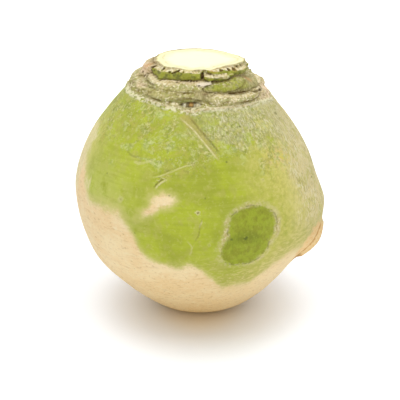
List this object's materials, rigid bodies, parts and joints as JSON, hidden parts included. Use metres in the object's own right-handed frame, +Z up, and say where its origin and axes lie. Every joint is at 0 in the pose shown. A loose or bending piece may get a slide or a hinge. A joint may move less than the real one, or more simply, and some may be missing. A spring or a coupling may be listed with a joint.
{
  "type": "rutabaga",
  "caption": "Whole rutabaga root, green-shouldered and cream below, with leaf scars round its trimmed crown, resting on a small flat spot.",
  "frame": {"origin": "middle of the small flat spot that the root rests on, under the middle of the whole root", "axes": "+Z up through the cut crown, -Y the front, +X the side with the trimmed side root"},
  "size_m": [0.1247, 0.1221, 0.1286],
  "materials": {
    "skin": "smooth waxy skin, yellow-green on the shoulders and cream below"
  },
  "bodies": {
    "root": {"rutabaga": "skin"}
  },
  "joints": []
}
